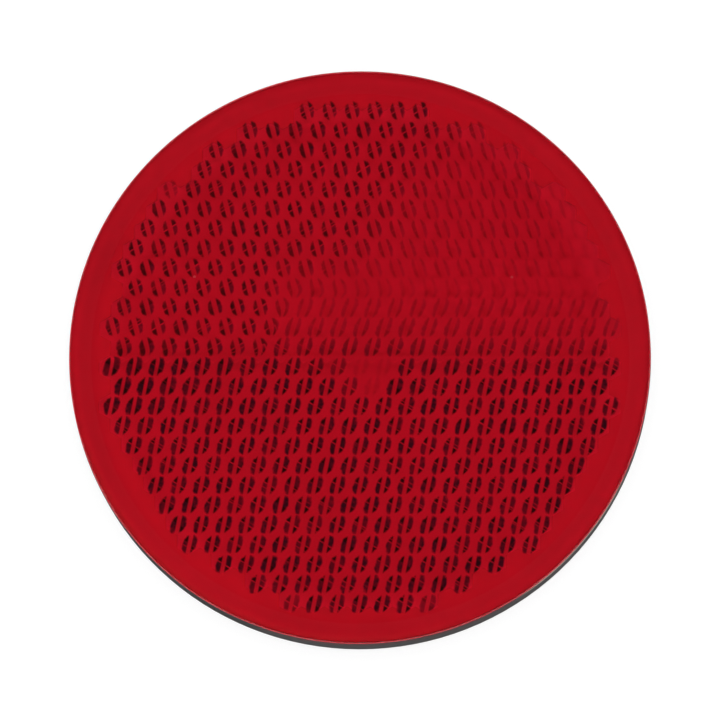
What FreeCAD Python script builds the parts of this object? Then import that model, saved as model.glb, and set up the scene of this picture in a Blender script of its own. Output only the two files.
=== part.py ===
import FreeCAD, Part
import math
import os

# Round self-adhesive reflector, lying on its back with the lens facing up.
# The origin is at the middle of the back face and +Z is the way the reflector faces.
# All sizes are in millimetres.

# Lens, one clear moulding with its prisms on the back
lens_diameter = 60.0
lens_edge = 1.5  # thickness of the rim that sits on the housing
lens_plate = 1.2  # thickness inside the rim, over the prisms
lens_edge_round = 0.15  # rounding round the front face
lens_seam_bevel = 0.2  # bevel round the back of the rim

# Prisms, hexagonal pins that end in the corner of a cube
prism_pitch = 2.34  # across the flats of one pin
prism_root = 0.1  # straight foot between the plate and the lowest valleys
prism_margin = 0.1  # bare ring between the outermost pins and the rib

# Locating rib on the back of the lens
rib_width = 0.5
rib_depth = 0.8  # measured from the back of the plate
rib_taper = 0.05  # the rib narrows by this much on each side towards its tip
rib_gap = 0.15  # between the rib and the wall of the housing

# Housing, an opaque dish that the rim of the lens is welded to
housing_inset = 0.1  # the dish is this much smaller than the lens, all round
housing_wall = 1.5
housing_floor = 1.05
housing_draft = 1.0  # taper of the outer wall, in degrees
housing_lip_bevel = 0.15
housing_back_bevel = 0.25
housing_corner_bevel = 0.4  # inside, between floor and wall
tip_gap = 0.25  # air between the tips of the prisms and the floor

# Foam tape and the film that covers it until the reflector is stuck on
pad_diameter = 52.0
pad_thickness = 0.9
liner_thickness = 0.1

# A cube seen along its diagonal is a hexagon. Its corners lie at one and at two thirds of
# the diagonal by turns, so pins side by side meet in one unbroken folded surface.
hexagon_radius = prism_pitch / math.sqrt(3)
prism_step = prism_pitch / math.sqrt(6)
row_pitch = 1.5 * hexagon_radius

# Heights, from the back to the front
liner_top = liner_thickness
housing_back = liner_top + pad_thickness
floor_top = housing_back + housing_floor
tip_height = floor_top + tip_gap
valley_height = tip_height + 2 * prism_step
plate_back = valley_height + prism_root
seat_height = plate_back + lens_plate - lens_edge
front_height = plate_back + lens_plate

# Radii, from the outside in
lens_radius = lens_diameter / 2
housing_radius = lens_radius - housing_inset
cavity_radius = housing_radius - housing_wall
rib_outer_radius = cavity_radius - rib_gap
rib_inner_radius = rib_outer_radius - rib_width
field_radius = rib_inner_radius - prism_margin

# The pin beyond each side, counted anticlockwise from the top: rows up, half pitches across
BEYOND = ((1, -1), (0, -2), (-1, -1), (-1, 1), (0, 2), (1, 1))


def turned(profile):
    """A solid turned about the vertical axis from points given as radius and height."""
    points = [FreeCAD.Vector(radius, 0, height) for radius, height in profile]
    face = Part.Face(Part.makePolygon(points + points[:1]))
    return face.revolve(FreeCAD.Vector(0, 0, 0), FreeCAD.Vector(0, 0, 1), 360)


def circles(solid, radius, height):
    """The circular edges of a solid with this radius at this height."""
    found = []
    for edge in solid.Edges:
        if not isinstance(edge.Curve, Part.Circle):
            continue
        if abs(edge.Curve.Radius - radius) < 1e-6 and abs(edge.Curve.Center.z - height) < 1e-6:
            found.append(edge)
    return found


def middle(row, column):
    """The place of the middle of a pin as x and y, with its column in half pitches."""
    return column * prism_pitch / 2, (row + 0.5) * row_pitch


def corner(row, column, index):
    """The place of one corner of a pin as x and y, counted anticlockwise from the top."""
    x, y = middle(row, column)
    angle = math.radians(90 + 60 * index)
    return x + hexagon_radius * math.cos(angle), y + hexagon_radius * math.sin(angle)


def is_ridge(row, index):
    """True where an edge of the cube ends: every other corner, turned over in the lower half."""
    return (index % 2 == 0) == (row >= 0)


def pins(rows):
    """The pins of these rows that fit in the field, as row and column in half pitches."""
    half_count = int(field_radius / prism_pitch) + 1
    found = []
    for row in rows:
        shift = 1 if row % 2 == 0 else 0
        for place in range(-half_count, half_count + 1):
            column = 2 * place + shift
            reach = max(math.hypot(*corner(row, column, index)) for index in range(6))
            if reach <= field_radius:
                found.append((row, column))
    return found


def facet(*points):
    """A flat face through these points."""
    corners = [FreeCAD.Vector(*point) for point in points]
    return Part.Face(Part.makePolygon(corners + corners[:1]))


def cube_corner(row, column):
    """The three square faces that end one pin, each from the tip out to a valley."""
    tip = (*middle(row, column), tip_height)
    faces = []
    for index in range(6):
        if not is_ridge(row, index):
            continue
        ridge = (*corner(row, column, index), tip_height + prism_step)
        valley = (*corner(row, column, index + 1), valley_height)
        next_ridge = (*corner(row, column, index + 2), tip_height + prism_step)
        faces.append(facet(tip, ridge, valley, next_ridge))
    return faces


def prism_block(rows):
    """The prisms of these rows as one closed solid, with its flat top inside the plate."""
    top = plate_back + lens_plate / 2
    block = pins(rows)
    present = set(block)
    faces = []
    outline = []
    for row, column in block:
        faces.extend(cube_corner(row, column))
        for index, (up, across) in enumerate(BEYOND):
            if (row + up, column + across) in present:
                continue
            start = corner(row, column, index)
            end = corner(row, column, index + 1)
            levels = []
            for step in (index, index + 1):
                rise = prism_step if is_ridge(row, step) else 2 * prism_step
                levels.append(tip_height + rise)
            faces.append(facet((*start, levels[0]), (*end, levels[1]), (*end, top), (*start, top)))
            outline.append(Part.makeLine((*start, top), (*end, top)))
    for loop in Part.sortEdges(outline):
        faces.append(Part.Face(Part.Wire(loop)))
    shell = Part.Shell(faces)
    shell.sewShape()
    solid = Part.Solid(shell)
    if solid.Volume < 0:
        solid.reverse()
    return solid


def lens():
    """Disc with a rounded front edge, a bevelled seat, a locating rib and the prism field."""
    disc = turned(
        [
            (0, plate_back),
            (rib_inner_radius, plate_back),
            (rib_inner_radius + rib_taper, plate_back - rib_depth),
            (rib_outer_radius - rib_taper, plate_back - rib_depth),
            (rib_outer_radius, seat_height),
            (lens_radius - lens_seam_bevel, seat_height),
            (lens_radius, seat_height + lens_seam_bevel),
            (lens_radius, front_height),
            (0, front_height),
        ]
    )
    disc = disc.makeFillet(lens_edge_round, circles(disc, lens_radius, front_height))
    # The prisms face one way in the upper half of the field and the other way in the lower
    last_row = int(field_radius / row_pitch) + 1
    upper = prism_block(range(0, last_row))
    lower = prism_block(range(-last_row, 0))
    return disc.fuse([upper, lower]).Solids[0]


def housing():
    """Dish with a drafted outer wall and a flat lip that carries the rim of the lens."""
    taper = math.tan(math.radians(housing_draft))
    back_radius = housing_radius - (seat_height - housing_back) * taper
    return turned(
        [
            (0, housing_back),
            (back_radius - housing_back_bevel, housing_back),
            (back_radius + housing_back_bevel * taper, housing_back + housing_back_bevel),
            (housing_radius, seat_height - housing_lip_bevel),
            (housing_radius - housing_lip_bevel, seat_height),
            (cavity_radius, seat_height),
            (cavity_radius, floor_top + housing_corner_bevel),
            (cavity_radius - housing_corner_bevel, floor_top),
            (0, floor_top),
        ]
    )


def disc(diameter, bottom, thickness):
    """A flat round piece cut from a sheet."""
    return Part.makeCylinder(diameter / 2, thickness, FreeCAD.Vector(0, 0, bottom))


os.makedirs("parts", exist_ok=True)
lens().exportStep("parts/lens.step")
housing().exportStep("parts/housing.step")
disc(pad_diameter, liner_top, pad_thickness).exportStep("parts/adhesive_pad.step")
disc(pad_diameter, 0, liner_thickness).exportStep("parts/release_liner.step")
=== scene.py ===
import math

import bpy
import numpy as np
from mathutils import Matrix, Vector


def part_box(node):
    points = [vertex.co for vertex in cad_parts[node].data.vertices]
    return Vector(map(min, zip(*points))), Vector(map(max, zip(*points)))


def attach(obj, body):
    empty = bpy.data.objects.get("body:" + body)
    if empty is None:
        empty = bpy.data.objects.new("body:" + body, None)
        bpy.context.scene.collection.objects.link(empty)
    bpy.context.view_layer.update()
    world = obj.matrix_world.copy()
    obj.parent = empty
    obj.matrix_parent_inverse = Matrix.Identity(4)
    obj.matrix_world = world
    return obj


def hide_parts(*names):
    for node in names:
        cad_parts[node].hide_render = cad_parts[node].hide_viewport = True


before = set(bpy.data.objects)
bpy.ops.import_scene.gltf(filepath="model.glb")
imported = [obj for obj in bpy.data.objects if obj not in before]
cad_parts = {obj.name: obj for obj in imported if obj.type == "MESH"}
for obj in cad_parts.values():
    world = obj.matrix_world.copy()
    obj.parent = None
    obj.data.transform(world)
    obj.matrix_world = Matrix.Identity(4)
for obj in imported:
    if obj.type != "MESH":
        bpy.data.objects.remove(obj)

bl_info = {
    "name": "Round stick-on reflector",
    "version": (1, 0, 0),
    "blender": (4, 5, 0),
    "location": "3D View > Sidebar > Reflector",
    "description": "Clear front, prism field, dark housing and foam tape of a round reflector",
    "category": "Add Mesh",
}

MM = 0.001
ROOT = "root"

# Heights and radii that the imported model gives, in metres
LENS_LOW, LENS_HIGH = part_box("lens")
HOUSING_LOW, HOUSING_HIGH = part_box("housing")
LENS_RADIUS = min(LENS_HIGH.x, LENS_HIGH.y, -LENS_LOW.x, -LENS_LOW.y)
FRONT = LENS_HIGH.z
TIPS = LENS_LOW.z
SEAT = HOUSING_HIGH.z

# Thickness of the lens over its prisms, and the height of that plate's back
PLATE = 1.2 * MM
PLATE_BACK = FRONT - PLATE

# Points nearer than the first are joined, and the second is the slack when faces are picked
JOIN = 0.0005 * MM
SLACK = 0.01 * MM

# Steps round a turned piece, points along the rounding of its edge, and the angle past which
# two of its faces meet in a crisp edge
TURNS = 256
ROUNDING_POINTS = 8
CRISP = math.radians(30)

# The photograph is square. Its side, and the width and the middle of the disc in it, in pixels
PHOTO_SIDE = 720
DISC_SPAN = 581.6
DISC_CENTRE = (360.4, 360.8)

# Half the side of the floor, and how near the camera can see, in metres
FLOOR_REACH = 3.0
NEAREST = 0.01

# The floor's grey as light and mirrored rays meet it, and as the camera does, with the glow
# that only the camera sees
FLOOR_GREY = (0.22, 0.32)
FLOOR_GLOW = 0.72

# Directions across the disc, to the right and up
LOWER_LEFT = (-0.616, -0.788)
LOWER_RIGHT = (0.766, -0.643)

# Below, two numbers in brackets are the start and the end of a smooth change unless a comment
# says otherwise, and lengths are in millimetres from the middle of the disc. A name with WAY
# holds the direction along which such a change runs.

# Where the look of the prisms changes
RIGHT_SIDE = (-11.0, -6.5)
UPPER_HALF = (-0.9, 0.9)
UPPER_HALF_HIGHER = 6.3  # on the right side the upper half starts this much higher
FAINT_CORNER = (-13.0, -2.0)
FAINT_WAY = (1.0, -0.75)
CALM_HEIGHT = 5.0
CALM_STRIP = (0.3, 7.5)  # up and down from that height
FAR_RIGHT = (17.0, 23.0)
WIDE_PATCH = (-26.0, -12.0)
WIDE_WAY = (1.0, 0.15)
WIDE_TOP = (0.4, 2.0)
WIDE_FOOT = (-9.0, -3.0)
SPOILT_MIDDLE = (0.6, -1.4)
SPOILT_WEIGHTS = (0.64, 1.5)  # of the distance's square to the right and up
SPOILT_PATCH = (4.0, 7.0)  # as the weighted square of the distance
LAST_PRISMS = (26.20, 26.45)  # of a prism's own middle
LAST_DARK = (26.9, 27.2)
OUTER_PRISMS = (24.2, 26.4)

# Where the plain red changes
# The rim's edge and the lower left of the plain red get painted light
RIM_DIP = (27.2, 28.4)
RIM_EDGE = (28.4, 29.6)
FAR_LEFT = (-28.5, -20.0)
FAR_LEFT_RING = ((26.6, 27.6), (28.8, 29.4))
LOWER_LEFT_RED = (12.0, 24.0)
LOWER_LEFT_RED_WAY = (-0.8, -0.5)
# Painted light on the outermost rim at the lower left
PAINTED_RIM_LIGHT = (18.0, 28.0)
PAINTED_RIM_LIGHT_WAY = (-0.5, -1.0)
PAINTED_RIM_LIGHT_RING = (28.9, 29.6)
LENS_SIDE = (29.89, 29.93)
# Painted shade on the side at the lower left
PAINTED_SHADE_SPAN = (27.8, 29.3)
# Painted highlight on the side at the lower right
PAINTED_HIGHLIGHT = (28.5, 29.5)
PAINTED_HIGHLIGHT_HEIGHT = (0.5, 0.8)  # above the seat
EDGE_TOP = (1.25, 1.27)  # above the seat
BARE_PLATE = (-0.06, -0.02)  # above the plate's back
UPRIGHT = (0.1, 0.4)  # how far a face looks up or down: 0 for an upright wall, 1 for a flat one

# Painted glow of the outermost prisms and the upright walls, as a share of the rim's red
OUTER_GLOW = 0.13
WALL_GLOW = 0.20

# Ovals of the prisms, in millimetres from a prism's own middle
STROKES_ABOVE_TIPS = 1.0  # height above the tips at which the strokes seem to lie
OVAL_POWER = 2.4  # 2 gives an ellipse, and more gives a squarer oval
OVAL_EDGE = (0.74, 1.50)  # the edge's smooth change, where 1 is the oval itself
OVAL_FRAY = 0.8  # how far the mottle moves that edge
UPPER_SHIFT = 0.11  # the ovals of the upper half lie this far to the right
SLIT_EDGE = 0.17  # width of the smooth change at the side of the slit
BREAK_SLOPE = 0.62  # rise of the slanting breaks over their run
SECOND_BREAK_SPREAD = 1.3  # range of the heights at which a second break lies
WEDGE = (-0.02, 0.06)  # beyond the break

# Steps in column and in row between the three draws of chance that a prism has
DRAW_STEP = (37.0, 11.0)

# A speck's place in its prism, and its size as the square of the distance from there
GLINT_STEP = (-5.0, 3.0)
GLINT_ODDS = (0.989, 0.990)
GLINT_PLACE = (0.3, -0.9)
GLINT_SIZE = (0.01, 0.03)

# Strength of the light from all round, from low down and from the high ring. The changes go
# by the height that the light comes from: 0 at the horizon and 1 overhead.
LEAST_GLOW = 0.03
LOW_GLOW = 0.2
RING_GLOW = 2.7
RING_FOOT = (0.40, 0.60)
RING_TOP = (0.80, 0.92)


class ReflectorSizes(bpy.types.PropertyGroup):
    """Sizes of the pieces and of the pattern that the prisms show."""

    prism_pitch: bpy.props.FloatProperty(
        name="Prism pitch",
        description="Width of one hexagonal prism across its flats",
        default=2.34 * MM,
        unit="LENGTH",
    )
    edge_round: bpy.props.FloatProperty(
        name="Edge rounding",
        description="Radius of the rounding round the front of the lens",
        default=0.15 * MM,
        unit="LENGTH",
    )
    seam_bevel: bpy.props.FloatProperty(
        name="Seam bevel",
        description="Bevel round the back of the lens's rim",
        default=0.2 * MM,
        unit="LENGTH",
    )
    rib_radius: bpy.props.FloatProperty(
        name="Rib radius",
        description="Outer radius of the locating rib on the back of the lens",
        default=28.25 * MM,
        unit="LENGTH",
    )
    rib_width: bpy.props.FloatProperty(
        name="Rib width",
        description="Thickness of the locating rib where it meets the plate",
        default=0.5 * MM,
        unit="LENGTH",
    )
    rib_depth: bpy.props.FloatProperty(
        name="Rib depth",
        description="Depth of the locating rib below the back of the plate",
        default=0.8 * MM,
        unit="LENGTH",
    )
    rib_taper: bpy.props.FloatProperty(
        name="Rib taper",
        description="How much each side of the rib leans in towards its tip",
        default=0.05 * MM,
        unit="LENGTH",
    )
    edge_wall: bpy.props.FloatProperty(
        name="Edge wall",
        description="Thickness of the solid red edge round the clear front",
        default=0.15 * MM,
        unit="LENGTH",
    )
    edge_rise: bpy.props.FloatProperty(
        name="Edge rise",
        description="Height of the solid red edge above the seat of the lens",
        default=1.28 * MM,
        unit="LENGTH",
    )
    skin: bpy.props.FloatProperty(
        name="Skin",
        description="Thickness of the moulded back that carries the red and the dark strokes",
        default=0.05 * MM,
        unit="LENGTH",
    )
    air: bpy.props.FloatProperty(
        name="Air",
        description="Gap between the skin and the clear front",
        default=0.03 * MM,
        unit="LENGTH",
    )
    tilt: bpy.props.FloatProperty(
        name="Tilt",
        description="Angle between the camera's line of sight and the axis of the disc",
        default=math.radians(10.4),
        subtype="ANGLE",
    )
    swing: bpy.props.FloatProperty(
        name="Swing",
        description="How far round the camera stands from straight below the disc",
        default=math.radians(9.0),
        subtype="ANGLE",
    )
    roll: bpy.props.FloatProperty(
        name="Roll",
        description="Turn of the camera about its own line of sight",
        default=math.radians(0.37),
        subtype="ANGLE",
    )
    image_right: bpy.props.FloatProperty(
        name="Strokes to the right",
        description="How far the strokes appear beside the middles of the prisms",
        default=0.075 * MM,
        unit="LENGTH",
    )
    image_up: bpy.props.FloatProperty(
        name="Strokes upwards",
        description="How far the strokes appear above the middles of the prisms",
        default=0.33 * MM,
        unit="LENGTH",
    )
    image_stretch: bpy.props.FloatProperty(
        name="Stretch of the strokes",
        description="Spacing of the rows of strokes over that of the rows of prisms",
        default=1.020,
        subtype="FACTOR",
    )
    camera_distance: bpy.props.FloatProperty(
        name="Camera distance",
        description="Distance from the camera to the disc",
        default=3.0,
        unit="LENGTH",
    )


class ReflectorColours(bpy.types.PropertyGroup):
    """Colours of the pieces, as linear red, green and blue."""

    clear: bpy.props.FloatVectorProperty(
        name="Clear front",
        description="Tint of the clear red acrylic",
        subtype="COLOR",
        default=(0.96, 0.28, 0.36),
    )
    # Painted brighter than the rim, to make up for the shade that the prisms cast on one another
    net: bpy.props.FloatVectorProperty(
        name="Net",
        description="Bright red between the strokes",
        subtype="COLOR",
        default=(0.91, 0.058, 0.16),
    )
    rim: bpy.props.FloatVectorProperty(
        name="Rim",
        description="Red round the prisms, which lies in plain light",
        subtype="COLOR",
        default=(0.62, 0.05, 0.10),
    )
    stroke: bpy.props.FloatVectorProperty(
        name="Stroke",
        description="Dark of the strongest strokes",
        subtype="COLOR",
        default=(0.02, 0.008, 0.012),
    )
    haze: bpy.props.FloatVectorProperty(
        name="Haze",
        description="Purplish dark of the weaker strokes",
        subtype="COLOR",
        default=(0.060, 0.016, 0.09),
    )
    glint: bpy.props.FloatVectorProperty(
        name="Glint",
        description="Pale specks on a few prisms",
        subtype="COLOR",
        default=(1.0, 0.6, 0.6),
    )
    edge: bpy.props.FloatVectorProperty(
        name="Edge",
        description="Deep red of the lens seen from the side",
        subtype="COLOR",
        default=(0.085, 0.024, 0.024),
    )
    # Painted light on the outermost rim at the lower left
    painted_rim_light: bpy.props.FloatVectorProperty(
        name="Warm rim",
        description="Lighter red of the outermost rim at the lower left",
        subtype="COLOR",
        default=(0.72, 0.16, 0.14),
    )
    # Painted highlight on the edge of the lens at the lower right
    painted_highlight: bpy.props.FloatVectorProperty(
        name="Sheen",
        description="Pale shine on the edge of the lens at the lower right",
        subtype="COLOR",
        default=(0.62, 0.46, 0.36),
    )
    housing: bpy.props.FloatVectorProperty(
        name="Housing",
        description="Dark grey of the dish",
        subtype="COLOR",
        default=(0.058, 0.055, 0.055),
    )
    foam: bpy.props.FloatVectorProperty(
        name="Foam",
        description="Off-white of the foam tape",
        subtype="COLOR",
        default=(0.62, 0.62, 0.60),
    )
    liner: bpy.props.FloatVectorProperty(
        name="Liner",
        description="Pale buff of the release liner",
        subtype="COLOR",
        default=(0.72, 0.69, 0.60),
    )


class Signal:
    """A number socket of a material's nodes that takes part in Python expressions."""

    def __init__(self, nodes, socket):
        self.nodes = nodes
        self.socket = socket

    def math(self, operation, *others):
        node = self.nodes.add("ShaderNodeMath", {"operation": operation})
        for slot, value in zip(node.inputs, (self, *others)):
            self.nodes.feed(slot, value)
        return Signal(self.nodes, node.outputs[0])

    def __add__(self, other):
        return self.math("ADD", other)

    __radd__ = __add__

    def __mul__(self, other):
        return self.math("MULTIPLY", other)

    __rmul__ = __mul__

    def __sub__(self, other):
        return self.math("SUBTRACT", other)

    def __rsub__(self, other):
        return self.math("MULTIPLY", -1.0) + other

    def __truediv__(self, other):
        return self.math("DIVIDE", other)

    def __pow__(self, other):
        return self.math("POWER", other)

    def __abs__(self):
        return self.math("ABSOLUTE")

    def squared(self):
        return self.math("MULTIPLY", self)

    def floor(self):
        return self.math("FLOOR")

    def sign(self):
        return self.math("SIGN")

    def least(self, other):
        return self.math("MINIMUM", other)

    def most(self, other):
        return self.math("MAXIMUM", other)

    def rising(self, low, high):
        """0 below low, 1 above high, and a smooth step between."""
        node = self.nodes.add("ShaderNodeMapRange", {"interpolation_type": "SMOOTHSTEP"})
        self.nodes.feed(node.inputs["Value"], self)
        self.nodes.feed(node.inputs["From Min"], low)
        self.nodes.feed(node.inputs["From Max"], high)
        return Signal(self.nodes, node.outputs["Result"])

    def falling(self, low, high):
        """1 below low, 0 above high, and a smooth step between."""
        return 1 - self.rising(low, high)

    def between(self, at_none, at_full):
        """The first number where this is 0, the second where it is 1, and in line between."""
        return at_none + (at_full - at_none) * self

    def dimming(self, loss):
        """1 where this is 0, and less by the loss where it is 1."""
        return 1 - loss * self


class Nodes:
    """The nodes of one material or world."""

    def __init__(self, tree):
        self.tree = tree
        self.place = 0

    def add(self, kind, settings=None, values=None):
        """A node of this type, with its settings first and then its sockets' values or links."""
        node = self.tree.nodes.new(kind)
        node.location = (-220 * (self.place % 12), -170 * (self.place // 12))
        self.place += 1
        for name, value in (settings or {}).items():
            setattr(node, name, value)
        for name, value in (values or {}).items():
            self.feed(node.inputs[name], value)
        return node

    def feed(self, slot, value):
        """Links a socket or signal to a slot, or sets the slot's own value."""
        if isinstance(value, Signal):
            value = value.socket
        if isinstance(value, bpy.types.NodeSocket):
            self.tree.links.new(value, slot)
        elif slot.type == "RGBA" and len(value) == 3:
            slot.default_value = (*value, 1.0)
        else:
            slot.default_value = value

    def place_of(self):
        """Object coordinates as three signals, in millimetres."""
        coordinates = self.add("ShaderNodeTexCoord")
        scaled = self.add("ShaderNodeVectorMath", {"operation": "SCALE"})
        self.feed(scaled.inputs[0], coordinates.outputs["Object"])
        scaled.inputs["Scale"].default_value = 1 / MM
        split = self.add("ShaderNodeSeparateXYZ", values={"Vector": scaled.outputs[0]})
        return [Signal(self, split.outputs[axis]) for axis in range(3)]

    def upward(self, source):
        """The third part of a vector socket, as a signal."""
        split = self.add("ShaderNodeSeparateXYZ", values={"Vector": source})
        return Signal(self, split.outputs[2])

    def vector(self, x, y, z=0.0):
        """Three numbers or signals as one vector."""
        node = self.add("ShaderNodeCombineXYZ")
        for slot, value in zip(node.inputs, (x, y, z)):
            self.feed(slot, value)
        return node.outputs[0]

    def noise(self, vector, scale, detail=2.0):
        """Smooth noise between 0 and 1."""
        node = self.add(
            "ShaderNodeTexNoise",
            values={"Vector": vector, "Scale": scale, "Detail": detail},
        )
        return Signal(self, node.outputs[0])

    def chance(self, vector):
        """A steady number between 0 and 1 for each whole-number place."""
        node = self.add(
            "ShaderNodeTexWhiteNoise", {"noise_dimensions": "3D"}, {"Vector": vector}
        )
        return Signal(self, node.outputs[0])

    def blend(self, share, first, second):
        """The first colour where share is 0 and the second where it is 1."""
        node = self.add("ShaderNodeMix", {"data_type": "RGBA"})
        self.feed(node.inputs["Factor"], share)
        self.feed(node.inputs["A"], first)
        self.feed(node.inputs["B"], second)
        return node.outputs["Result"]

    def tinted(self, colour, amount):
        """A colour times a signal. The colour is a socket or three numbers."""
        if not isinstance(colour, bpy.types.NodeSocket):
            colour = self.vector(*colour)
        node = self.add("ShaderNodeVectorMath", {"operation": "SCALE"})
        self.feed(node.inputs[0], colour)
        self.feed(node.inputs["Scale"], amount)
        return node.outputs[0]

    def bump(self, height, strength, distance):
        """A normal that leans as if the surface rose with this height."""
        node = self.add(
            "ShaderNodeBump", values={"Height": height, "Strength": strength, "Distance": distance}
        )
        return node.outputs[0]

    def camera_ray(self):
        """1 where the camera itself looks, and 0 for light and mirrored rays."""
        path = self.add("ShaderNodeLightPath")
        return Signal(self, path.outputs["Is Camera Ray"])


def material(name, values):
    """A new material of one Principled shader, with its nodes for what varies."""
    made = bpy.data.materials.new(name)
    made.use_nodes = True
    made.node_tree.nodes.clear()
    nodes = Nodes(made.node_tree)
    shader = nodes.add("ShaderNodeBsdfPrincipled", values=values)
    output = nodes.add("ShaderNodeOutputMaterial")
    nodes.feed(output.inputs["Surface"], shader.outputs[0])
    return made, nodes, shader


def sizes():
    return bpy.context.scene.reflector_sizes


def colours():
    return bpy.context.scene.reflector_colours


def line_of_sight():
    """From the disc to the camera, as a unit vector.

    It stands at the tilt from the disc's axis, and at the swing from the way straight down.
    """
    tilt, swing = sizes().tilt, sizes().swing
    side = math.sin(tilt)
    return Vector((side * math.sin(swing), -side * math.cos(swing), math.cos(tilt)))


def mesh_object(name, vertices, faces, finish):
    """A piece whose object sits at the origin, with its place in its mesh."""
    mesh = bpy.data.meshes.new(name)
    mesh.from_pydata(vertices.tolist(), [], faces.tolist())
    mesh.validate()
    mesh.materials.append(finish)
    made = bpy.data.objects.new(name, mesh)
    bpy.context.scene.collection.objects.link(made)
    return made


def merged(points, faces):
    """Joins the points that coincide, and drops the faces that lose a corner by it."""
    grid = np.round(points / JOIN).astype(np.int64)
    first, where = np.unique(grid, axis=0, return_index=True, return_inverse=True)[1:]
    faces = where.reshape(-1)[faces]
    following = np.roll(faces, -1, axis=1)
    return points[first], faces[(faces != following).all(axis=1)]


def revolved(profile):
    """A closed loop of points carried round the vertical axis.

    A point at radius r and height z, carried to angle a, lies at (r cos a, r sin a, z). The
    loop runs anticlockwise with the radius to the right, so that its faces look outwards.
    """
    radius, height = np.hsplit(np.asarray(profile, dtype=float), 2)
    angle = np.linspace(0, 2 * np.pi, TURNS, endpoint=False)
    points = np.stack(
        [radius * np.cos(angle), radius * np.sin(angle), height + 0 * angle], axis=-1
    )
    here = np.arange(TURNS)
    after = (here + 1) % TURNS
    start = np.arange(len(radius))[:, None] * TURNS
    end = np.roll(start, -1, axis=0)
    lower = np.stack([start + here, start + after, end + after], axis=-1)
    upper = np.stack([start + here, end + after, end + here], axis=-1)
    faces = np.concatenate([lower.reshape(-1, 3), upper.reshape(-1, 3)])
    return merged(points.reshape(-1, 3), faces)


def far_out(x, y):
    """Distance from the axis: the root of x squared plus y squared."""
    return (x.squared() + y.squared()) ** 0.5


def along(x, y, way):
    """How far a place lies along a direction across the disc."""
    return way[0] * x + way[1] * y


def in_ring(distance, inner, outer):
    """1 within a ring whose inner and outer borders are smooth changes, and 0 outside it."""
    return distance.rising(*inner) * distance.falling(*outer)


def painted_shade(x, y):
    """How far a place on the side lies in the painted shade at the lower left."""
    return along(x, y, LOWER_LEFT).rising(*PAINTED_SHADE_SPAN)


def prism_place(x, y):
    """Row of the prism at a place, its column, and the place's distances from its middle."""
    pitch = sizes().prism_pitch / MM
    row_pitch = pitch * math.sqrt(3) / 2
    row = (y / row_pitch).floor()
    odd = row - (row * 0.5).floor() * 2
    shift = (1 - odd) * 0.5
    column = (x / pitch - shift + 0.5).floor()
    return row, column, x - (column + shift) * pitch, y - (row + 0.5) * row_pitch


def field_looks(x, y):
    """Shares from 0 to 1 that tell how the prisms look at a place.

    They say how far a place is in the upper half, where the ovals lean to the left, how
    faint it is, how wide and how thin its strokes are, and how strong its dark is.
    """
    # On the right the upper half starts higher up than on the left
    right = x.rising(*RIGHT_SIDE)
    upper = (y - UPPER_HALF_HIGHER * right).rising(*UPPER_HALF)
    # The upper right quarter is faint, and a calm strip lies where the right side changes, as
    # painted light washes the strokes out there
    faint = upper * along(x, y, FAINT_WAY).rising(*FAINT_CORNER)
    calm = abs(y - CALM_HEIGHT).falling(*CALM_STRIP) * right
    edge = x.rising(*FAR_RIGHT) * upper
    strength = faint.dimming(0.50) * calm.dimming(0.69) * edge.dimming(0.8)
    strength = strength * upper.dimming(0.11)
    # Strokes are widest and unbroken at the left, just below the middle, and turn into thin
    # slanting streaks where they are faint
    wide = along(x, y, WIDE_WAY).falling(*WIDE_PATCH)
    wide = wide * y.falling(*WIDE_TOP) * y.rising(*WIDE_FOOT)
    thin = (0.8 * faint).most(calm * calm)
    return upper, faint, wide, thin, strength


def oval_size(upper, wide, thin, lower_half, upper_half, add_wide, add_thin):
    """A size of the ovals in each half, and what wide and thin strokes add, in millimetres."""
    return upper.between(lower_half, upper_half) + add_wide * wide + add_thin * thin


def slanting_break(slant, luck, thickness, odds, depth):
    """A bright break in a stroke, with the odds that a prism has it and how bright it gets."""
    return abs(slant).falling(*thickness) * luck.rising(*odds) * depth


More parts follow.
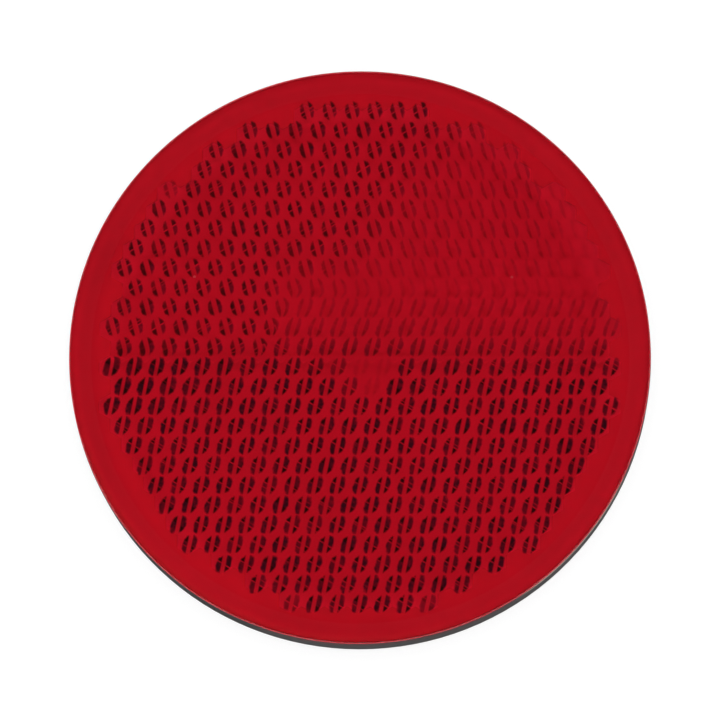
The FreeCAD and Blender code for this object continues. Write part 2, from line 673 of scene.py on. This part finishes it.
def strokes(nodes, x, y):
    """How dark the prisms look, from 0 to 1, how purplish that dark is, and a few glints.

    Each prism shows two dark strokes with a bright slit between them: the two sides of an
    oval. A slanting break parts each stroke into a short dark wedge and a longer piece. The
    ovals lean to the left in the upper half of the disc and to the right in the lower half.
    """
    row, column, across, up = prism_place(x, y)
    first_luck, second_luck, third_luck = (
        nodes.chance(nodes.vector(column + DRAW_STEP[0] * draw, row + DRAW_STEP[1] * draw))
        for draw in range(3)
    )
    mottle = nodes.noise(nodes.vector(x, y), scale=2.2, detail=1.0)
    upper, faint, wide, thin, strength = field_looks(x, y)

    # Oval: the two distances over the half width and half height, each to a power, add up to 1
    lean = upper.between(1, -1)
    slope = upper.between(0.20, 0.26) + upper.between(0.14, 0.06) * thin
    leaning = across - UPPER_SHIFT * upper - lean * slope * up
    raised = up - upper.between(0.15, 0.35) * (1 - thin) * across
    half_width = 0.06 * (first_luck - 0.5) + oval_size(
        upper, wide, thin, lower_half=0.72, upper_half=0.71, add_wide=0.05, add_thin=-0.04
    )
    half_height = 0.08 * (second_luck - 0.5) + oval_size(
        upper, wide, thin, lower_half=0.85, upper_half=0.87, add_wide=0.05, add_thin=0.22
    )
    oval = (abs(leaning) / half_width) ** OVAL_POWER + (abs(raised) / half_height) ** OVAL_POWER
    inside = (oval + OVAL_FRAY * (mottle - 0.5)).falling(*OVAL_EDGE)

    # Slit between the strokes, and the breaks across them
    inner = oval_size(
        upper, wide, thin, lower_half=0.14, upper_half=0.19, add_wide=-0.05, add_thin=0.08
    )
    slit = abs(leaning).rising(inner, inner + SLIT_EDGE)
    slant = up + lean * BREAK_SLOPE * across
    broken = slanting_break(
        slant, third_luck, thickness=(0.02, 0.13), odds=(0.1, 0.4), depth=0.8
    )
    slant_beside = slant - SECOND_BREAK_SPREAD * (first_luck - 0.5)
    broken = broken + slanting_break(
        slant_beside, second_luck, thickness=(0.02, 0.11), odds=(0.4, 0.6), depth=0.6
    )
    broken = broken.least(1.0) * (1 - wide) * thin.dimming(0.7)
    side = leaning.sign()
    wedge = (-1 * lean * slant * side).rising(*WEDGE)

    # A few prisms near the middle are spoilt, and those past the border show nothing
    middle_x = x - across
    middle_y = y - up
    spoilt = (
        SPOILT_WEIGHTS[0] * (middle_x - SPOILT_MIDDLE[0]).squared()
        + SPOILT_WEIGHTS[1] * (middle_y - SPOILT_MIDDLE[1]).squared()
    ).falling(*SPOILT_PATCH)
    strength = strength * spoilt.dimming(0.85)
    strength = strength * far_out(middle_x, middle_y).falling(*LAST_PRISMS)

    # The wedges are the darkest, and the longer pieces are mottled and purplish, apart from
    # the left strokes of the upper half
    short = strength * faint.dimming(0.20)
    long = strength * (second_luck.dimming(0.18) - 0.20 * faint) * mottle.between(1.25, 0.70)
    dark = inside * slit * (1 - broken) * (wedge * short + (1 - wedge) * long).least(1.0)
    left_stroke = 0.5 - 0.5 * side
    purple = (1 - wedge) * (0.75 - 0.70 * upper * left_stroke)

    glint = nodes.chance(nodes.vector(column + GLINT_STEP[0], row + GLINT_STEP[1]))
    speck = (across - GLINT_PLACE[0]).squared() + (up - GLINT_PLACE[1]).squared()
    glint = glint.rising(*GLINT_ODDS) * speck.falling(*GLINT_SIZE)
    return dark * far_out(x, y).falling(*LAST_DARK), purple, glint


def red_shade(nodes, radius, x, y):
    """How bright the plain red is.

    It is a little darker in a ring inside the rim and at the far left, and cloudy all over.
    Painted light makes it a little brighter at the rim's edge and at the lower left.
    """
    cloud = nodes.noise(nodes.vector(x, y), scale=0.08)
    far_left = x.falling(*FAR_LEFT) * in_ring(radius, *FAR_LEFT_RING)
    # Painted light brightens the rim's edge and the lower left
    rim = 0.13 * radius.rising(*RIM_EDGE) - 0.06 * radius.rising(*RIM_DIP)
    lower_left = along(x, y, LOWER_LEFT_RED_WAY).rising(*LOWER_LEFT_RED)
    return 1.0 + rim - 0.10 * far_left + 0.07 * lower_left + cloud.between(-0.05, 0.05)


def moulded_back_material():
    """Red of the moulded back, with the dark strokes of the prisms and a painted glow."""
    made, nodes, shader = material(
        "moulded_prisms",
        {"Roughness": 0.5, "Specular IOR Level": 0.1, "Emission Strength": 1.0},
    )
    size, colour = sizes(), colours()
    x, y, z = nodes.place_of()
    radius = far_out(x, y)

    # The surface folds in depth, so the pattern is laid on along the line of sight
    sight = line_of_sight()
    depth = TIPS / MM + STROKES_ABOVE_TIPS - z
    seen_x = x + depth * (sight.x / sight.z) - size.image_right / MM
    seen_y = y + depth * (sight.y / sight.z) - size.image_up / MM
    dark, purple, glint = strokes(nodes, seen_x, seen_y / size.image_stretch)
    stroke = nodes.blend(purple, tuple(colour.stroke), tuple(colour.haze))

    # The bare ring outside the prisms lies in plain light, as the rim does, and the net of the
    # prisms is painted brighter, against the shade that the prisms cast on one another
    low, high = BARE_PLATE
    bare = z.rising(PLATE_BACK / MM + low, PLATE_BACK / MM + high)
    net = nodes.blend(bare, tuple(colour.net), tuple(colour.rim))
    plain = nodes.tinted(net, red_shade(nodes, radius, x, y))
    marked = nodes.blend(dark, plain, stroke)
    nodes.feed(shader.inputs["Base Color"], nodes.blend(glint, marked, tuple(colour.glint)))

    # Painted glow: the outermost prisms stand against the plate's edge, and they and the upright
    # walls round them glow with a share of the rim's red, which evens out the shade there
    geometry = nodes.add("ShaderNodeNewGeometry")
    wall = abs(nodes.upward(geometry.outputs["True Normal"])).falling(*UPRIGHT)
    outermost = radius.rising(*OUTER_PRISMS) * (1 - dark)
    painted_glow = (1 - bare) * (OUTER_GLOW * outermost + WALL_GLOW * wall)
    nodes.feed(shader.inputs["Emission Color"], nodes.tinted(colour.rim, painted_glow))

    # The red is seen by light that the prisms turn back, so their slopes don't shade it
    upright = nodes.add(
        "ShaderNodeVectorTransform",
        {"vector_type": "NORMAL", "convert_from": "OBJECT", "convert_to": "WORLD"},
        {"Vector": nodes.vector(0.0, 0.0, 1.0)},
    )
    nodes.feed(shader.inputs["Normal"], upright.outputs[0])
    return made


def moulded_edge_material():
    """Red of the ring round the prisms, with painted light, and deep red where the lens is seen
    from the side, with painted shade and a painted highlight.
    """
    made, nodes, shader = material("moulded_edge", {})
    colour = colours()
    x, y, z = nodes.place_of()
    radius = far_out(x, y)
    plain = nodes.tinted(colour.rim, red_shade(nodes, radius, x, y))
    # Painted light makes the outermost rim lighter at the lower left
    painted_rim_light = along(x, y, PAINTED_RIM_LIGHT_WAY).rising(*PAINTED_RIM_LIGHT) * radius.rising(*PAINTED_RIM_LIGHT_RING)
    plain = nodes.blend(0.5 * painted_rim_light, plain, tuple(colour.painted_rim_light))

    # Side of the lens: painted shade darkens it at the lower left, and a painted highlight runs
    # along its upper half at the lower right
    grain = nodes.noise(nodes.vector(x, y, z), scale=0.6)
    side = nodes.tinted(colour.edge, grain.between(0.7, 1.3) * painted_shade(x, y).dimming(0.8))
    height = z - SEAT / MM
    painted_highlight = along(x, y, LOWER_RIGHT).rising(*PAINTED_HIGHLIGHT) * height.rising(*PAINTED_HIGHLIGHT_HEIGHT)
    side = nodes.blend(painted_highlight, side, tuple(colour.painted_highlight))
    side = nodes.blend(0.7 * height.rising(*EDGE_TOP), side, tuple(colour.rim))
    nodes.feed(
        shader.inputs["Base Color"], nodes.blend(radius.rising(*LENS_SIDE), plain, side)
    )
    nodes.feed(shader.inputs["Roughness"], grain.between(0.30, 0.45))
    return made


def clear_front_material():
    """Clear red acrylic, the same all over."""
    values = {
        "Base Color": tuple(colours().clear),
        "Roughness": 0.0,
        "IOR": 1.49,
        "Transmission Weight": 1.0,
    }
    return material("clear_red_acrylic", values)[0]


def moulded_back(reach):
    """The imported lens's own triangles behind its plate and within this radius, joined up."""
    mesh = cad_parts["lens"].data
    points = np.empty(len(mesh.vertices) * 3)
    mesh.vertices.foreach_get("co", points)
    points = points.reshape(-1, 3)
    mesh.calc_loop_triangles()
    corners = np.empty(len(mesh.loop_triangles) * 3, dtype=np.int32)
    mesh.loop_triangles.foreach_get("vertices", corners)
    corners = corners.reshape(-1, 3)
    behind = points[corners][:, :, 2].max(axis=1) < PLATE_BACK + SLACK
    inside = np.hypot(*points.T[:2])[corners].max(axis=1) < reach + SLACK
    vertices, faces = merged(points, corners[behind & inside])
    used, where = np.unique(faces, return_inverse=True)
    return vertices[used], where.reshape(-1, 3)


def edge_profile():
    """Rib, seat and solid edge of the lens, as radii and heights."""
    size = sizes()
    rib_inner = size.rib_radius - size.rib_width
    rib_tip = PLATE_BACK - size.rib_depth
    rim_inner = LENS_RADIUS - size.edge_wall
    rim_top = SEAT + size.edge_rise
    return [
        (rib_inner, PLATE_BACK),
        (rib_inner + size.rib_taper, rib_tip),
        (size.rib_radius - size.rib_taper, rib_tip),
        (size.rib_radius, SEAT),
        (LENS_RADIUS - size.seam_bevel, SEAT),
        (LENS_RADIUS, SEAT + size.seam_bevel),
        (LENS_RADIUS, rim_top),
        (rim_inner, rim_top),
        (rim_inner, PLATE_BACK + size.skin),
        (rib_inner, PLATE_BACK + size.skin),
    ]


def front_profile():
    """Clear front, a hair above the red, as radii and heights.

    The rounding is a quarter circle from the side to the front face. The point after it
    keeps its smooth shading off the flat front.
    """
    size = sizes()
    back = PLATE_BACK + size.skin + size.air
    inner = LENS_RADIUS - size.edge_wall - size.air
    step = SEAT + size.edge_rise + size.air
    arc = np.linspace(0, math.pi / 2, ROUNDING_POINTS)
    rounded = np.stack(
        [
            LENS_RADIUS - size.edge_round * (1 - np.cos(arc)),
            FRONT - size.edge_round * (1 - np.sin(arc)),
        ],
        axis=-1,
    )
    return [
        (0, back),
        (inner, back),
        (inner, step),
        (LENS_RADIUS, step),
        *rounded,
        (LENS_RADIUS - 1.5 * size.edge_round, FRONT),
        (0, FRONT),
    ]


def add_to_lens(name, vertices, faces, finish):
    """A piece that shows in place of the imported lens."""
    piece = mesh_object(name, vertices, faces, finish)
    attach(piece, ROOT)
    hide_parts("lens")
    return piece


class REFLECTOR_OT_lens(bpy.types.Operator):
    """Adds the lens: the moulded back with its prisms and rim, under a clear front"""

    bl_idname = "reflector.lens"
    bl_label = "Lens"

    def execute(self, context):
        size = sizes()
        back = moulded_back(size.rib_radius - size.rib_width)
        prisms = add_to_lens("lens_prisms", *back, moulded_back_material())
        thicken = prisms.modifiers.new("thickness", "SOLIDIFY")
        thicken.thickness = size.skin
        thicken.offset = -1.0

        turned = (
            ("lens_edge", edge_profile(), moulded_edge_material()),
            ("lens_front", front_profile(), clear_front_material()),
        )
        for name, profile, finish in turned:
            piece = add_to_lens(name, *revolved(profile), finish)
            piece.data.shade_smooth()
            piece.data.set_sharp_from_angle(angle=CRISP)
        return {"FINISHED"}


def assign(node, finish):
    """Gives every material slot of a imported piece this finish."""
    for slot in node.material_slots:
        slot.material = finish


class REFLECTOR_OT_housing(bpy.types.Operator):
    """Finishes the dark dish behind the lens"""

    bl_idname = "reflector.housing"
    bl_label = "Housing"

    def execute(self, context):
        made, nodes, shader = material("dark_moulded_plastic", {})
        x, y, z = nodes.place_of()
        place = nodes.vector(x, y, z)
        grain = nodes.noise(place, scale=3.0, detail=3.0)
        fine = nodes.noise(place, scale=14.0)
        # Grain varies the grey, and painted shade darkens the dish at the lower left
        shade = grain.between(0.85, 1.15) * painted_shade(x, y).dimming(0.8)
        nodes.feed(shader.inputs["Base Color"], nodes.tinted(colours().housing, shade))
        nodes.feed(shader.inputs["Roughness"], grain.between(0.34, 0.50))
        bump = nodes.bump(fine, strength=0.25, distance=0.02 * MM)
        nodes.feed(shader.inputs["Normal"], bump)
        assign(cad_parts["housing"], made)
        return {"FINISHED"}


class REFLECTOR_OT_backing(bpy.types.Operator):
    """Finishes the foam tape and its release liner"""

    bl_idname = "reflector.backing"
    bl_label = "Tape and liner"

    def execute(self, context):
        foam, nodes, shader = material("closed_cell_foam", {"Roughness": 0.85})
        cells = nodes.noise(nodes.vector(*nodes.place_of()), scale=5.0, detail=4.0)
        shade = cells.between(0.8, 1.2)
        nodes.feed(shader.inputs["Base Color"], nodes.tinted(colours().foam, shade))
        bump = nodes.bump(cells, strength=0.6, distance=0.06 * MM)
        nodes.feed(shader.inputs["Normal"], bump)
        assign(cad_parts["adhesive_pad"], foam)

        paper, nodes, shader = material("coated_paper", {})
        fibre = nodes.noise(nodes.vector(*nodes.place_of()), scale=1.2, detail=5.0)
        shade = fibre.between(0.92, 1.08)
        nodes.feed(shader.inputs["Base Color"], nodes.tinted(colours().liner, shade))
        nodes.feed(shader.inputs["Roughness"], fibre.between(0.30, 0.55))
        assign(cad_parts["release_liner"], paper)
        return {"FINISHED"}


def add_floor():
    """A flat square that the camera sees white and the reflector sees grey."""
    made, nodes, shader = material("pale_floor", {"Roughness": 0.9, "Emission Strength": 1.0})
    seen = nodes.camera_ray()
    white = (1, 1, 1)
    nodes.feed(shader.inputs["Base Color"], nodes.tinted(white, seen.between(*FLOOR_GREY)))
    nodes.feed(shader.inputs["Emission Color"], nodes.tinted(white, FLOOR_GLOW * seen))
    corners = np.array([(-1, -1, 0), (1, -1, 0), (1, 1, 0), (-1, 1, 0)]) * FLOOR_REACH
    floor = mesh_object("floor", corners, np.array([[0, 1, 2, 3]]), made)


def add_light(scene):
    """A white background, with light that hangs in a high ring.

    So neither the way straight down nor the low views mirror the light in the lens.
    """
    world = bpy.data.worlds.new("studio")
    scene.world = world
    world.use_nodes = True
    world.node_tree.nodes.clear()
    nodes = Nodes(world.node_tree)
    height = nodes.upward(nodes.add("ShaderNodeTexCoord").outputs["Generated"])
    ring = in_ring(height, RING_FOOT, RING_TOP)
    dome = LEAST_GLOW + LOW_GLOW * height.falling(*RING_FOOT) + RING_GLOW * ring
    seen = nodes.camera_ray()
    strength = dome * (1 - seen) + seen
    background = nodes.add(
        "ShaderNodeBackground", values={"Color": (1, 1, 1), "Strength": strength}
    )
    output = nodes.add("ShaderNodeOutputWorld")
    nodes.feed(output.inputs["Surface"], background.outputs[0])


def add_camera(scene):
    """The camera of the photograph.

    It stands back from the middle of the disc along the line of sight. The target slides so
    that the middle lands where the photograph has it, and the focal length fits the width.
    """
    size = sizes()
    camera_data = bpy.data.cameras.new("camera")
    camera = bpy.data.objects.new("camera", camera_data)
    scene.collection.objects.link(camera)
    scene.camera = camera
    back = line_of_sight()
    turn = Matrix.Rotation(size.roll, 3, back)
    level = Vector((0, 1, 0)).cross(back).normalized()
    right = turn @ level
    above = turn @ back.cross(level)
    pixel = 2 * LENS_RADIUS / DISC_SPAN
    middle = PHOTO_SIDE / 2
    target = Vector((0, 0, (FRONT + HOUSING_LOW.z) / 2))
    target = target + right * (middle - DISC_CENTRE[0]) * pixel
    target = target + above * (DISC_CENTRE[1] - middle) * pixel
    camera.location = target + back * size.camera_distance
    camera.rotation_mode = "QUATERNION"
    camera.rotation_quaternion = Matrix((right, above, back)).transposed().to_quaternion()
    camera_data.lens = camera_data.sensor_width / 2 * size.camera_distance / (pixel * middle)
    camera_data.clip_start = NEAREST


class REFLECTOR_OT_stage(bpy.types.Operator):
    """Adds the pale floor, the soft light and the camera"""

    bl_idname = "reflector.stage"
    bl_label = "Stage"

    def execute(self, context):
        add_floor()
        add_light(context.scene)
        add_camera(context.scene)
        context.scene.view_settings.view_transform = "Standard"
        return {"FINISHED"}


class REFLECTOR_PT_panel(bpy.types.Panel):
    """Lists the pieces, their sizes and their colours"""

    bl_idname = "REFLECTOR_PT_panel"
    bl_label = "Reflector"
    bl_space_type = "VIEW_3D"
    bl_region_type = "UI"
    bl_category = "Reflector"

    def draw(self, context):
        for operator in PIECES:
            self.layout.operator(operator.bl_idname)
        for group in (sizes(), colours()):
            box = self.layout.box()
            for name in group.__annotations__:
                box.prop(group, name)


PIECES = (REFLECTOR_OT_lens, REFLECTOR_OT_housing, REFLECTOR_OT_backing, REFLECTOR_OT_stage)
CLASSES = (ReflectorSizes, ReflectorColours, *PIECES, REFLECTOR_PT_panel)


def register():
    for each in CLASSES:
        bpy.utils.register_class(each)
    bpy.types.Scene.reflector_sizes = bpy.props.PointerProperty(type=ReflectorSizes)
    bpy.types.Scene.reflector_colours = bpy.props.PointerProperty(type=ReflectorColours)


def unregister():
    del bpy.types.Scene.reflector_colours
    del bpy.types.Scene.reflector_sizes
    for each in reversed(CLASSES):
        bpy.utils.unregister_class(each)


def main():
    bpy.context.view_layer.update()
    register()
    bpy.ops.reflector.lens()
    bpy.ops.reflector.housing()
    bpy.ops.reflector.backing()
    bpy.ops.reflector.stage()


if __name__ == "__main__":
    main()
